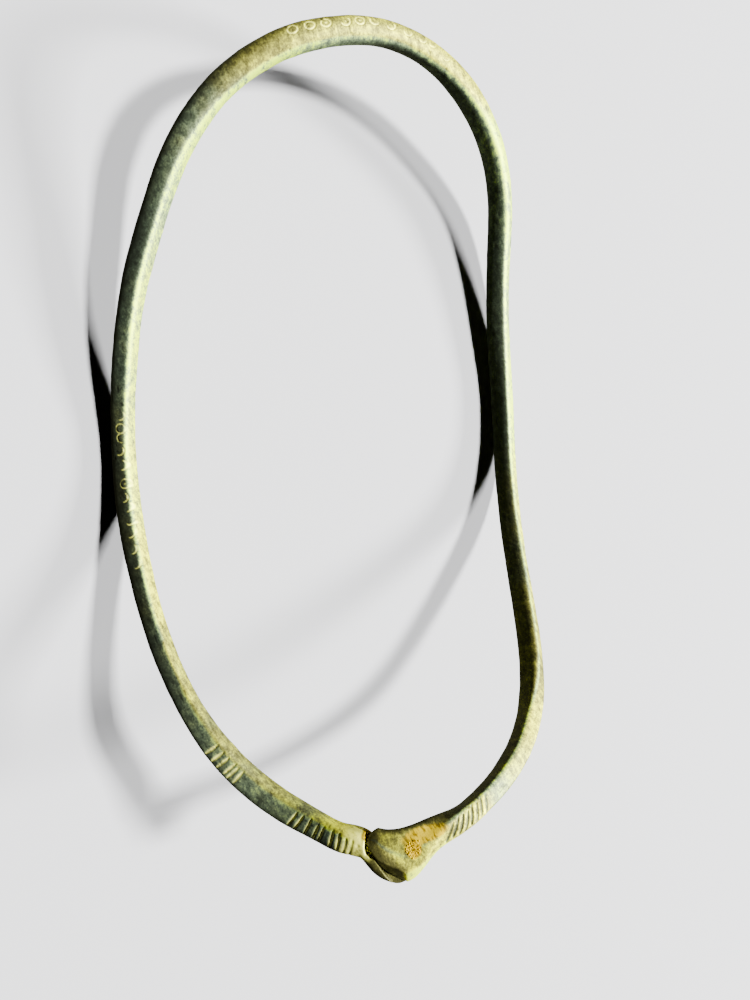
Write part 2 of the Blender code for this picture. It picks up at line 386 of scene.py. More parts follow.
def section_group():
    """A point of a soft-cornered section, from how far round it is and two sizes."""
    group, given, result = new_tree(
        "Soft-cornered section",
        {"Float": ["Turn", "Width", "Thickness", "Squareness"], "Vector": ["Across", "Square"]},
        "Offset", "Vector")
    a = given["Turn"].math("COSINE")
    b = given["Turn"].math("SINE")
    power = given["Squareness"]
    reach = (a.math("ABSOLUTE") ** power + b.math("ABSOLUTE") ** power) ** (power ** -1 * -1)
    across = given["Across"] * (a * reach * given["Width"] * 0.5)
    join(group, across + given["Square"] * (b * reach * given["Thickness"] * 0.5), result)
    return group


def seat_group():
    """How far a place lies outside the plate's outline, which has a round tip."""
    group, given, result = new_tree(
        "Outside the plate",
        {"Float": ["Run", "Out", "Plate width", "Widest at", "Tip width", "Rod width"]},
        "Beyond", "Float")
    radius = given["Tip width"] * 0.5
    run = given["Run"].math("MAXIMUM", radius).math("MINIMUM", given["Widest at"])
    wide = given["Tip width"] + (given["Plate width"] - given["Tip width"]) * (run / given["Widest at"])
    edge = wide.math("MINIMUM", given["Rod width"]) * 0.5
    aside = (0 - edge - given["Out"]).math("MAXIMUM", given["Out"] - wide + edge)
    aside = (aside + radius).math("MAXIMUM", 0)
    ahead = (radius - given["Run"]).math("MAXIMUM", 0)
    join(group, (ahead * ahead + aside * aside).math("SQRT") - radius, result)
    return group


def leaning_flow(outward, upward, lean):
    """The two directions across the rod, in a node tree."""
    across = outward * lean.math("COSINE") - upward * lean.math("SINE")
    return across, upward * lean.math("COSINE") + outward * lean.math("SINE")


def rod_tree():
    """Sweeps the section along the line, beats the plate flat and files the seat under it."""
    tree, given, result = new_tree("Bent rod", {
        "Geometry": ["Line"], "Int": ["Points round"], "Material": ["Finish"],
        "Float": ["Rod width", "Rod thickness", "Plate squareness", "Plate lean", "Plate hollow",
                  "Bevel lean", "Plate width", "Widest at", "Tip width", "Seat height",
                  "Seat margin", "Seat wall"],
        "Vector": ["Seat place", "Seat across", "Seat direction"]}, "Rod")
    line = add_node(tree, "GeometryNodeMeshToCurve", {"Mesh": given["Line"]})
    ring = add_node(tree, "GeometryNodeCurvePrimitiveCircle", {"Resolution": given["Points round"]})
    index = Flow(tree.nodes.new("GeometryNodeInputIndex").outputs[0])
    turns = index * (2 * math.pi) / given["Points round"]
    turns = turns + turns.math("COSINE") * FACE_CROWDING
    ring = store(tree, ring.outputs["Curve"], "turn", turns)
    sweep = add_node(tree, "GeometryNodeCurveToMesh", {
        "Curve": line.outputs["Curve"], "Profile Curve": ring, "Fill Caps": True})
    sweep = add_node(tree, "GeometryNodeFlipFaces", {"Mesh": sweep.outputs["Mesh"]})

    turn = attribute(tree, "turn")
    outward = attribute(tree, "outward", "FLOAT_VECTOR")
    upward = attribute(tree, "upward", "FLOAT_VECTOR")
    rod_across, rod_square = leaning_flow(outward, upward, attribute(tree, "lean"))
    plate_across, plate_square = leaning_flow(outward, upward, given["Plate lean"])
    size = attribute(tree, "girth")
    section = section_group()
    rod = use_group(tree, section, {
        "Turn": turn, "Width": given["Rod width"] * size, "Across": rod_across,
        "Thickness": given["Rod thickness"] * size, "Square": rod_square,
        "Squareness": attribute(tree, "squareness")})
    middle = attribute(tree, "middle", "FLOAT_VECTOR")
    seat = given["Seat direction"]
    seat_along = seat.vector("CROSS_PRODUCT", given["Seat across"])
    from_seat = middle + rod - given["Seat place"]
    beyond = use_group(tree, seat_group(), {
        "Run": from_seat.dot(seat_along) + given["Widest at"] * 0.5,
        "Out": from_seat.dot(given["Seat across"]), "Plate width": given["Plate width"],
        "Widest at": given["Widest at"], "Tip width": given["Tip width"],
        "Rod width": given["Rod width"]})
    clear = ((beyond - given["Seat margin"]) / given["Seat wall"]).eased(0, 1)
    limit = given["Seat height"] + clear * given["Rod thickness"]
    limit = limit + (1 - attribute(tree, "lapped")) * given["Rod thickness"]
    rod = rod - seat * (rod.dot(seat) - limit).math("MAXIMUM", 0)

    thick = attribute(tree, "plate_thickness")
    shift = plate_across * attribute(tree, "plate_shift")
    wide = attribute(tree, "plate_width")
    plate_turn = turn - math.pi / 4
    plate = use_group(tree, section, {
        "Turn": plate_turn, "Width": wide, "Thickness": thick, "Across": plate_across,
        "Squareness": given["Plate squareness"], "Square": plate_square})
    spread = plate.dot(plate_across) / wide * 2
    top = plate_turn.math("SINE").eased(*HOLLOW_EDGE)
    hollow = given["Plate hollow"] * (1 - spread * spread) * top
    plate = plate + shift - plate_square * hollow
    ridge = plate_across * attribute(tree, "plate_ridge") + plate_square * (thick * 0.5) + shift
    _, bevel = leaning_flow(outward, upward, given["Bevel lean"])
    plate = plate - bevel * (plate - ridge).dot(bevel).math("MAXIMUM", 0)

    offset = rod + (plate - rod) * attribute(tree, "flat")
    placed = add_node(tree, "GeometryNodeSetPosition", {
        "Geometry": sweep.outputs["Mesh"], "Position": middle + offset})
    rod = store(tree, placed.outputs["Geometry"], "across", offset.dot(rod_across))
    rod = store(tree, rod, "out", offset.dot(plate_across))
    rod = store(tree, rod, "facing", rod_square, "FLOAT_VECTOR")
    give_finished(tree, rod, given["Finish"], result)
    return tree


def worked(piece, tree, sizes):
    """Runs a tree on an object and keeps its result as a plain mesh."""
    modifier = piece.modifiers.new(tree.name, "NODES")
    modifier.node_group = tree
    for item in tree.interface.items_tree:
        if item.in_out == "INPUT" and item.name in sizes:
            modifier[item.identifier] = sizes[item.name]
    depsgraph = bpy.context.evaluated_depsgraph_get()
    mesh = bpy.data.meshes.new_from_object(piece.evaluated_get(depsgraph), depsgraph=depsgraph)
    piece.modifiers.remove(modifier)
    return mesh


bronze = bpy.data.materials.new("old bronze")


def sweep_rod():
    """The rod as it was before it was marked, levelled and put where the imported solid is."""
    line = rod_line()
    seat_place, outward, upward = path.frame(np.array([PLATE_WIDEST / 2]))
    seat_across, seat_direction = leaning(outward, upward, PLATE_LEAN)
    mesh = worked(line, rod_tree(), {
        "Points round": POINTS_ROUND, "Rod width": ROD_WIDTH, "Rod thickness": ROD_THICKNESS,
        "Plate squareness": PLATE_SQUARENESS, "Plate lean": PLATE_LEAN,
        "Plate hollow": PLATE_HOLLOW, "Bevel lean": BEVEL_LEAN,
        "Plate width": PLATE_WIDTH, "Widest at": PLATE_WIDEST, "Tip width": PLATE_TIP,
        "Seat place": seat_place[0].tolist(), "Seat across": seat_across[0].tolist(),
        "Seat direction": seat_direction[0].tolist(), "Seat height": LAP_SEAT,
        "Seat margin": LAP_MARGIN, "Seat wall": LAP_WALL, "Finish": bronze})
    bpy.data.objects.remove(line)
    places = np.array([v.co for v in mesh.vertices])
    left, right = [side[side[:, 2].argmin()] for side in (places[places[:, 0] < 0],
                                                          places[places[:, 0] > 0])]
    level = Matrix.Rotation(math.atan2(right[2] - left[2], right[0] - left[0]), 4, "Y")
    mesh.transform(level)
    places = np.array([v.co for v in mesh.vertices])
    low, high = [np.array(corner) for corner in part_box("anklet_rod")]
    shift = (low + high - places.min(axis=0) - places.max(axis=0)) / 2
    shift[2] = low[2] - REST_WEAR - places[:, 2].min()
    mesh.transform(Matrix.Translation(shift))
    return new_piece("bent_rod", mesh)


rod = sweep_rod()

# The struck marks and the worn skin
# A smith cut rows of short chisel strokes beside the clasp and struck rows of small circlets round
# the back and along the left side. Use and burial have worn the skin uneven, with shallow pits.

# Each circlet is (distance from the tip of the plate, distance outwards from the middle of the
# face), both in mm, then its depth, how far the punch leaned, which way it leaned in degrees (0 is
# along the rod, 90 is outwards) and how much of a knob it left in its middle.
CIRCLETS = [
    (161.9, 0.3, 0.5, 0.8, -110, 0.0), (164.9, 0.8, 0.5, 0.8, -120, 0.0),
    (166.8, 0.6, 0.5, 0.8, -120, 0.0), (169.5, 0.5, 0.5, 0.4, -100, 0.3),
    (172.6, 0.6, 1.0, 0.6, -120, 0.0), (175.4, 0.8, 0.9, 0.7, -50, 0.0),
    (177.9, 0.7, 1.0, 0.2, -100, 0.8), (180.3, 0.6, 1.2, 0.5, -130, 0.4),
    (183.4, 0.7, 1.0, 0.2, -130, 0.6), (185.9, 0.8, 1.0, 0.2, -120, 0.0),
    (188.5, 0.9, 0.9, 0.1, -120, 0.0),
    (253.4, -0.5, 0.6, 0.8, -60, 0.0), (255.5, -0.6, 0.6, 0.1, -40, 0.0),
    (257.0, -0.8, 0.8, 0.5, 100, 0.0), (259.0, -0.3, 0.9, 0.8, -50, 0.0),
    (261.4, -0.7, 1.0, 0.6, -80, 0.0), (264.4, -0.9, 0.8, 0.3, -60, 0.6),
    (266.6, -0.4, 1.0, 0.8, -70, 0.0), (268.2, -0.8, 0.8, 0.8, -70, 0.0),
    (270.4, -1.0, 1.1, 0.7, -30, 0.0), (272.4, -0.7, 0.7, 0.8, -45, 0.0),
    (275.0, -0.5, 0.8, 0.8, -60, 0.0), (277.4, -0.6, 0.8, 0.8, -50, 0.0),
]
CIRCLET_RADIUS = 0.75 * MM
CIRCLET_LINE = 0.20 * MM
CIRCLET_DEPTH = 0.12 * MM
STRIKE_EDGE = 0.8
KNOB_EDGE = (0.1, 0.5)
KNOB_DEPTH = 0.8

# Each cut is (distance from the tip of the plate, distance outwards from the middle of the face),
# both in mm, then its slant and its depth.
CUTS = [
    (11.2, 0.2, -0.6, 0.7), (12.2, 0.0, -0.6, 0.9), (13.2, 0.1, -0.6, 1.0),
    (14.2, 0.2, -0.6, 1.0), (15.2, 0.0, -0.5, 1.0), (16.3, 0.1, -0.5, 0.9),
    (17.3, 0.0, -0.5, 0.9), (18.4, 0.1, -0.5, 0.7),
    (307.5, 0.2, -0.1, 0.8), (308.8, 0.2, -0.1, 0.9), (309.9, 0.2, -0.1, 0.9),
    (311.2, 0.1, -0.1, 0.8), (311.9, 0.2, -0.1, 0.8), (312.9, 0.1, 0.0, 0.8),
    (323.1, 0.4, -0.3, 0.8), (324.2, 0.4, -0.3, 0.8), (325.7, 0.3, -0.1, 0.8),
    (327.1, 0.4, -0.1, 0.8), (328.0, 0.4, -0.1, 0.7), (329.5, 0.2, 0.0, 0.8),
    (330.4, 0.1, 0.0, 0.8), (331.2, 0.4, -0.1, 0.7), (332.0, 0.5, -0.1, 0.6),
]
CUT_LENGTH = 2.6 * MM
CUT_WIDTH = 0.85 * MM
CUT_DEPTH = 0.22 * MM
CUT_TIP_WIDTH = 0.15
RIGHT_ROW_END = 25 * MM
RIGHT_ROW_SLANT = -0.55
LEFT_ROW_SLANT = -0.10
BACK_ROW_END = 200 * MM
BACK_ROW_FLATTENING = 0.4
ROW_CHANGE = (5 * MM, 40 * MM)
FACE_EDGE = (0.1, 0.5)
DENT_SPAN = 7.0 * MM
DENT_DEPTH = 0.10 * MM
FACET_SPAN = 2.2 * MM
FACET_DEPTH = 0.05 * MM
PIT_SPAN = 0.9 * MM
PIT_DEPTH = 0.07 * MM
PIT_COVER = (0.62, 0.78)

# Where soil clings to the skin or has stained it, from the tip of the plate, or for the arm from
# the end under it. Each spot has the four sizes that SPOT_SIZES names.
SPOT_SIZES = ("Middle along", "Middle across", "Reach along", "Reach across")
SPOT_EDGE = (0.3, 1)
PLATE_SOIL = (6.0 * MM, 1.1 * MM, 1.5 * MM, 1.7 * MM)
NECK_STAIN = (7.9 * MM, -0.2 * MM, 4.4 * MM, 1.5 * MM)
ARM_STAIN = (7.5 * MM, -1.4 * MM, 1.1 * MM, 1.2 * MM)
STAIN_STRENGTH = 0.8


def mark_points(name, marks, titles):
    """One point for each mark, at its distance along the rod, carrying its other values."""
    columns = np.array(marks).T
    places = np.zeros((len(marks), 3))
    places[:, 0] = columns[0] * MM
    values = dict(zip(titles, columns[1:]))
    values["out"] = values["out"] * MM
    return carrier(name, places, [], values)


def nearest_mark(tree, marks, run, titles):
    """The distance from the nearest mark of a row, and that mark's values."""
    points = add_node(tree, "GeometryNodeObjectInfo", {"Object": marks}).outputs["Geometry"]
    place = add_node(tree, "ShaderNodeCombineXYZ", {"X": run}).outputs["Vector"]
    index = add_node(tree, "GeometryNodeSampleNearest", {
        "Geometry": points, "Sample Position": place}).outputs["Index"]
    here = Flow(tree.nodes.new("GeometryNodeInputPosition").outputs[0]).dot((1, 0, 0))
    found = []
    for value in [here] + [attribute(tree, title) for title in titles]:
        node = add_node(tree, "GeometryNodeSampleIndex", {
            "Geometry": points, "Value": value, "Index": index})
        found.append(Flow(node.outputs["Value"]))
    return run - found[0], found[1:]


def cut_group():
    """One stroke of the chisel: narrow at both ends and as deep as its V."""
    group, given, result = new_tree(
        "Chisel cut", {"Float": ["Along", "Across", "Length", "Width"]}, "Cut", "Float")
    reach = given["Across"] / given["Length"] * 2
    spindle = (1 - reach * reach).math("MAXIMUM", 0)
    half = given["Width"] * (spindle * (0.5 - CUT_TIP_WIDTH) + CUT_TIP_WIDTH)
    wall = (1 - given["Along"].math("ABSOLUTE") / half).math("MAXIMUM", 0)
    join(group, wall * spindle.eased(0, 0.5), result)
    return group


def circlet_group():
    """One circlet: a round line, struck harder on one side the more the punch leaned."""
    group, given, result = new_tree(
        "Struck circlet",
        {"Float": ["Along", "Across", "Radius", "Line", "Lean", "Toward", "Knob"]}, "Line", "Float")
    along, across, radius = given["Along"], given["Across"], given["Radius"]
    distance = (along * along + across * across).math("SQRT")
    line = 1 - (distance - radius).math("ABSOLUTE") / given["Line"]
    toward = given["Toward"].math("RADIANS")
    side = (along * toward.math("COSINE") + across * toward.math("SINE")) / radius
    struck = (given["Lean"] * (side - 1) + 1).math("MAXIMUM", 0).eased(0, STRIKE_EDGE)
    knob = 1 - (distance / radius).eased(*KNOB_EDGE)
    join(group, line.eased(0, 1) * struck + knob * given["Knob"] * KNOB_DEPTH, result)
    return group


def spot_group():
    """A soft-edged spot on the skin, 1 in its middle."""
    group, given, result = new_tree(
        "Spot", {"Float": ["Along", "Across", *SPOT_SIZES]}, "Spot", "Float")
    along = (given["Along"] - given["Middle along"]) / given["Reach along"]
    across = (given["Across"] - given["Middle across"]) / given["Reach across"]
    join(group, 1 - (along * along + across * across).math("SQRT").eased(*SPOT_EDGE), result)
    return group


def spot_at(tree, group, along, across, spot):
    """A soft-edged spot placed on the skin."""
    return use_group(tree, group, {"Along": along, "Across": across, **dict(zip(SPOT_SIZES, spot))})


def noise(tree, places, span, detail=2.0, roughness=0.5, seed=0.0):
    """Soft noise from 0 to 1 whose grains are about one span wide."""
    shifted = places * (1 / span) + (seed, seed, seed)
    node = add_node(tree, "ShaderNodeTexNoise", {"Vector": shifted, "Scale": 1.0,
                                                 "Detail": detail, "Roughness": roughness})
    return Flow(node.outputs["Fac"])


def marks_tree():
    """Cuts and strikes the rows of marks, dents and pits the skin, and rubs the feet flat."""
    tree, given, result = new_tree("Struck marks and worn skin", {
        "Geometry": ["Rod"], "Object": ["Circlets", "Cuts"], "Material": ["Finish"],
        "Float": ["Rod length", "Cut length", "Cut width", "Cut depth", "Circlet radius",
                  "Circlet line", "Circlet depth", "Dent depth", "Facet depth", "Pit depth"]}, "Rod")
    run, across = attribute(tree, "run"), attribute(tree, "across")
    left = given["Rod length"] - run
    face = attribute(tree, "turn").math("SINE").eased(*FACE_EDGE)

    past_right_row = run.eased(RIGHT_ROW_END, RIGHT_ROW_END + ROW_CHANGE[0])
    row_slant = past_right_row * (LEFT_ROW_SLANT - RIGHT_ROW_SLANT) + RIGHT_ROW_SLANT
    along, (out, slant, depth) = nearest_mark(
        tree, given["Cuts"], run - across * row_slant, ("out", "slant", "depth"))
    along = along - (across - out) * (slant - row_slant) + out * row_slant
    cut = use_group(tree, cut_group(), {
        "Along": along, "Across": across - out, "Length": given["Cut length"],
        "Width": given["Cut width"]}) * depth * face

    along, (out, depth, lean, toward, knob) = nearest_mark(
        tree, given["Circlets"], run, ("out", "depth", "lean", "toward", "knob"))
    past_back_row = run.eased(BACK_ROW_END, BACK_ROW_END + ROW_CHANGE[1])
    flattened = 1 + BACK_ROW_FLATTENING - past_back_row * BACK_ROW_FLATTENING
    struck = use_group(tree, circlet_group(), {
        "Along": along, "Across": (across - out) * flattened, "Radius": given["Circlet radius"],
        "Line": given["Circlet line"], "Lean": lean, "Toward": toward, "Knob": knob})
    struck = struck * depth * face

    out = attribute(tree, "out")
    places = Flow(tree.nodes.new("GeometryNodeInputPosition").outputs[0])
    normal = Flow(tree.nodes.new("GeometryNodeInputNormal").outputs["Normal"])
    dents = (noise(tree, places, DENT_SPAN) - 0.5) * 2 * given["Dent depth"]
    facets = (noise(tree, places, FACET_SPAN, seed=31) - 0.5) * 2 * given["Facet depth"]
    pits = noise(tree, places, PIT_SPAN, seed=57).eased(*PIT_COVER)
    relief = attribute(tree, "facing", "FLOAT_VECTOR") * (
        cut * given["Cut depth"] + struck * given["Circlet depth"])
    moved = places + normal * (dents + facets - pits * given["Pit depth"]) - relief
    parts = add_node(tree, "ShaderNodeSeparateXYZ", {"Vector": moved})
    x, y, z = [Flow(socket) for socket in parts.outputs]
    grounded = add_node(tree, "ShaderNodeCombineXYZ", {"X": x, "Y": y, "Z": z.math("MAXIMUM", 0)})
    placed = add_node(tree, "GeometryNodeSetPosition", {
        "Geometry": given["Rod"], "Position": grounded.outputs["Vector"]})

    spot = spot_group()
    plate_soil = spot_at(tree, spot, run, out, PLATE_SOIL)
    neck_stain = spot_at(tree, spot, run, out, NECK_STAIN)
    arm_stain = spot_at(tree, spot, left, across, ARM_STAIN)
    stain = neck_stain.math("MAXIMUM", arm_stain) * STAIN_STRENGTH
    stain = plate_soil.math("MAXIMUM", stain)
    geometry = placed.outputs["Geometry"]
    for name, value in (("cut", cut), ("struck", struck), ("soil", plate_soil),
                        ("stain", stain), ("pit", pits)):
        geometry = store(tree, geometry, name, value)
    give_finished(tree, geometry, given["Finish"], result)
    return tree


circlets = mark_points("circlets", CIRCLETS, ("out", "depth", "lean", "toward", "knob"))
cuts = mark_points("cuts", CUTS, ("out", "slant", "depth"))
rod = new_piece("bent_rod", worked(rod, marks_tree(), {
    "Rod length": ROD_LENGTH, "Circlets": circlets, "Cuts": cuts, "Cut length": CUT_LENGTH,
    "Cut width": CUT_WIDTH, "Cut depth": CUT_DEPTH, "Circlet radius": CIRCLET_RADIUS,
    "Circlet line": CIRCLET_LINE, "Circlet depth": CIRCLET_DEPTH, "Dent depth": DENT_DEPTH,
    "Facet depth": FACET_DEPTH, "Pit depth": PIT_DEPTH, "Finish": bronze}), rod)
bpy.data.objects.remove(circlets)
bpy.data.objects.remove(cuts)
rod.data.shade_smooth()
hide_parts("anklet_rod")
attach(rod, "root")

# The patina, with painted light and shade
# The bronze has an olive-green skin, mottled with dark green and yellow. It is rubbed pale along its
# inner upper ridge and in the marks. Light and shade are painted into the skin as well: it is paler
# where the lamps light the rod, darker where it is turned from them, and in painted shade round the
# rim and inner edge of the plate.

# Each list gives a value along the rod, as (share of its length, value). The tone of the skin goes
# from 0, nearly black, to 1, palest. The face and side tones hold painted light and shade as well as
# the patina's own changes: pale on the lit outer face of the right arm, the lit inner side of the left
# arm and the lit end beside the plate, dark on the shaded inner side of the right arm and the shaded
# outer face of the left. The warmth goes from 0, blue-green, to 1, yellow. The shade list is painted
# shade, taken off the tone of the outer side. RIDGE_TURN is where the ridge lies, in degrees round.
FACE_TONE_AND_PAINTED_LIGHT = [
    (0.000, 0.62), (0.012, 0.66), (0.035, 0.68), (0.048, 0.72), (0.062, 0.60), (0.080, 0.66),
    (0.112, 0.72), (0.126, 0.44), (0.150, 0.60), (0.220, 0.84), (0.300, 0.97), (0.340, 0.74),
    (0.380, 0.80), (0.420, 1.00), (0.455, 0.70), (0.540, 0.60), (0.570, 0.44), (0.630, 0.34),
    (0.670, 0.16), (0.720, 0.32), (0.780, 0.18), (0.860, 0.26), (0.905, 0.42), (0.967, 0.44),
    (0.976, 1.10), (0.981, 1.10), (0.986, 0.48), (1.000, 0.45),
]
SIDE_TONE_AND_PAINTED_LIGHT = [
    (0.000, 0.62), (0.024, 0.56), (0.040, 0.28), (0.090, 0.28), (0.125, 0.40), (0.150, 0.34),
    (0.240, 0.17), (0.280, 0.12), (0.350, 0.19), (0.420, 0.48), (0.470, 0.32), (0.500, 0.24),
    (0.535, 0.55), (0.560, 0.98), (0.610, 0.90), (0.665, 0.70), (0.700, 0.80), (0.760, 0.84),
    (0.820, 0.84), (0.860, 0.64), (0.900, 0.46), (0.950, 0.62), (0.970, 1.02), (0.981, 1.02),
    (0.986, 0.60), (1.000, 0.50),
]
RIDGE_TONE = [
    (0.000, 0.62), (0.040, 0.70), (0.100, 0.75), (0.200, 0.88), (0.300, 1.00), (0.440, 1.05),
    (0.480, 0.66), (0.520, 0.72), (0.560, 1.00), (0.700, 0.95), (0.820, 0.88), (0.870, 0.54),
    (0.950, 0.62), (0.970, 1.02), (0.981, 1.02), (0.986, 0.60), (1.000, 0.50),
]
# Painted shade: how much darker the outer side is painted along the rod, where it is turned from the
# lamps.
PAINTED_OUTER_SHADE = [
    (0.000, 0.00), (0.530, 0.00), (0.580, 0.20), (0.610, 0.28), (0.660, 0.30), (0.860, 0.26),
    (0.910, 0.05), (0.955, 0.05), (0.972, 0.60), (1.000, 0.35),
]
FACE_WARMTH = [
    (0.000, 1.30), (0.030, 1.20), (0.048, 0.95), (0.062, 0.35), (0.080, 0.60), (0.110, 0.95),
    (0.140, 0.80), (0.220, 0.60), (0.300, 0.15), (0.430, 0.20), (0.465, 0.95), (0.560, 0.85),
    (0.620, 0.20), (0.680, 0.10), (0.780, 0.35), (0.900, 0.20), (0.968, 0.20), (0.979, 1.10),
    (1.000, 1.10),
]
SIDE_WARMTH = [
    (0.000, 1.00), (0.040, 0.70), (0.130, 0.80), (0.220, 0.45), (0.300, 0.05), (0.560, 0.05),
    (0.700, 0.25), (0.760, 0.50), (0.830, 0.80), (0.900, 0.62), (0.955, 0.62), (0.975, 0.95),
    (1.000, 0.95),
]
RIDGE_TURN = [
    (0.000, 135), (0.100, 135), (0.130, 119), (0.300, 126), (0.420, 135), (0.820, 135),
    (0.890, 117), (1.000, 114),
]
RIDGE_SPREAD = 9
CORNER_SPREAD = 12

# Stretches over which one part of the skin gives way to the next, as (start, length): round the
# rod in degrees, then in from the edge of the plate and along it, then as shares of the rod.
UNDERSIDE = (215, 25)
OUTER_SIDE = (345, 25)
OUTER_SIDE_END = (40, 70)
# Where the painted shade round the plate's rim starts and ends.
RIM = (1.194 * MM, 1.706 * MM)
RIM_END = (4.465 * MM, 0.87 * MM)
BEVEL_START = (4.073 * MM, 0.783 * MM)
NECK_END = (9.75 * MM, 3.25 * MM)
# Where the end of the left arm beside the plate is painted pale, as painted light.
PAINTED_LIGHT_END = (0.967, 0.00833)
PAINTED_LIGHT_END_STOP = (0.980, 0.004)
BEVEL_SPREAD = 0.5 * MM
EDGE_WIDTH = 0.9 * MM
TIP_RIM_SHARE = 1.3
BARE_TIP = 0.5 * MM
COOL_RIDGE_END = 0.85

UNDER_TONE = 0.30
# The tone of the painted shade on the plate's rim and inner edge.
PAINTED_RIM_SHADOW_TONE = 0.14
# The bevel's tone is rubbed pale and also painted light, where the lamps catch it.
BEVEL_TONE = 0.98
RIGHT_CUT_TONE = -0.4
LEFT_CUT_TONE = 0.1
STRUCK_TONE = 0.3
CUT_EDGE = (0.0, 0.5)
STRUCK_EDGE = (0.15, 0.5)
RUBBED_EDGE = (0.15, 0.6)
STRUCK_RUBBED = 0.7
PALE_COOLING = 0.7
CUT_COOLING = 0.5

# The colours of the skin, by tone, and those of what lies on it.
COOL_TONES = [(0.010, 0.013, 0.010, 1), (0.026, 0.036, 0.024, 1), (0.068, 0.092, 0.054, 1),
              (0.17, 0.24, 0.080, 1), (0.40, 0.56, 0.016, 1)]
WARM_TONES = [(0.012, 0.011, 0.003, 1), (0.034, 0.032, 0.008, 1), (0.095, 0.092, 0.018, 1),
              (0.24, 0.24, 0.020, 1), (0.50, 0.51, 0.006, 1)]
SHINE = (1.0, 1.0, 0.3, 1)
EARTH_STAIN = (0.30, 0.215, 0.0, 1)
DARK_STAIN = (0.085, 0.052, 0.0, 1)
# The pale colour of rubbed places, also used for the painted light on the arm's end beside the plate.
RUBBED = (0.68, 0.68, 0.12, 1)

# How wide the grains of each noise are, and how much each shifts the tone.
CLOUD_SPAN = 5.0 * MM
CLOUD_TONE = 0.5
MOTTLE_SPAN = 1.1 * MM
MOTTLE_TONE = 1.1
SPECKLE_SPAN = 0.28 * MM
SPECKLE_TONE = 0.8
STREAK_SPAN = 1.3 * MM
STREAK_TONE = 0.8
STREAK_ACROSS = (0.90, 0.44, 0)
STREAK_ALONG = (-0.44, 0.90, 0)
STREAK_NARROWING = 3
STREAK_STRETCH = 0.8
UNEVEN_DARK = 0.5
UNEVEN_PALE = 0.9
PIT_TONE = 0.2
WARMTH_PATCHES = 0.8
WARMTH_RANGE = (0.05, 0.85)
RUBBED_COVER = (0.6, 1.15)
STAIN_STREAKS = 2
STAIN_BREAKS = 0.3
STAIN_EDGE = (0.1, 0.6)
EARTHY_MOTTLE = 0.4
EARTHY_COVER = (0.58, 0.78)
SKIN_ROUGHNESS = 0.50
SPECKLE_ROUGHNESS = 0.12
SKIN_METALLIC = 0.4
SKIN_SPECULAR = 0.25
BUMP_STRENGTH = 0.6
BUMP_DEPTH = 0.05 * MM
BUMP_SPECKLE = 0.7


def read_values(name):
    """One number of the rod's mesh for each of its points."""
    values = np.empty(len(rod.data.vertices), "f")
    rod.data.attributes[name].data.foreach_get("value", values)
    return values


def paint(name, values):
    """Keeps a number for each point of the rod's mesh, for its material to read."""
    rod.data.attributes.new(name, "FLOAT", "POINT").data.foreach_set("value", values.astype("f"))


def past(value, start, length):
    """Ease from 0 to 1 over a length from the start on."""
    return smooth((value - start) / length)


def plate_parts(run, out):
    """How far each point belongs to the plate's rim and inner edge, both painted shade, and to its
    bevel.
    """
    wide = plate_width(run)
    half_rod = np.minimum(wide, ROD_WIDTH) / 2
    inward = wide - half_rod - out
    neck = 1 - past(run, *NECK_END)
    rim = 1 - past(np.minimum(inward, run * TIP_RIM_SHARE), *RIM)
    rim = rim * (1 - past(run, *RIM_END))
    bevel = 1 - past(inward, PLATE_BEVEL - BEVEL_SPREAD / 2, BEVEL_SPREAD)
    bevel = bevel * past(run, *BEVEL_START) * neck
    edge = (1 - smooth((out + half_rod) / EDGE_WIDTH)) * neck * (run > BARE_TIP)
    return rim, bevel, edge


